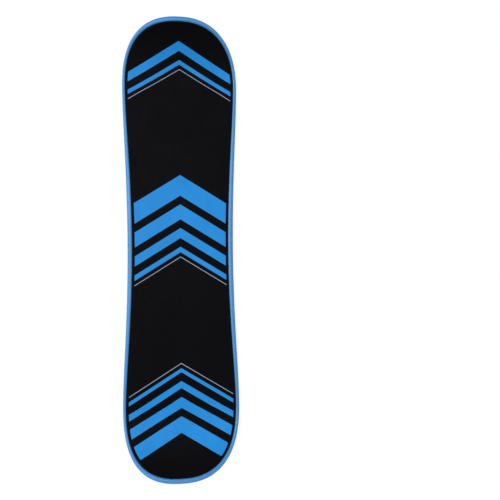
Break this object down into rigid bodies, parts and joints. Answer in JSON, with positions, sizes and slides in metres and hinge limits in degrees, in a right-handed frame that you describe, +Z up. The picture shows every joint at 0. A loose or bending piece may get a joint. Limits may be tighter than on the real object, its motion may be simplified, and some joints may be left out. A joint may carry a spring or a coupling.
{
  "type": "kids snowboard",
  "caption": "Flat-laying child's plastic snowboard with upturned ends, a fluted base with rolled rails, a rounded rim bead and a padded printed deck.",
  "frame": {"origin": "middle of the board's box at the bottom of its base, on the surface it lies on", "axes": "+Y along the board towards the nose, X across the board, +Z up out of the deck"},
  "size_m": [0.251, 0.9498, 0.0734],
  "materials": {
    "base_plastic": "satin moulded polyethylene",
    "rim_plastic": "satin moulded polyethylene",
    "core_foam": "closed-cell foam",
    "adhesive": "clear transfer adhesive",
    "pad_foam": "matt closed-cell foam",
    "topsheet": "satin printed sheet"
  },
  "bodies": {
    "root": {"base_shell": "base_plastic", "deck_shell": "rim_plastic", "foam_core": "core_foam", "pad_adhesive": "adhesive", "deck_pad": "pad_foam", "printed_topsheet": "topsheet"}
  },
  "joints": []
}
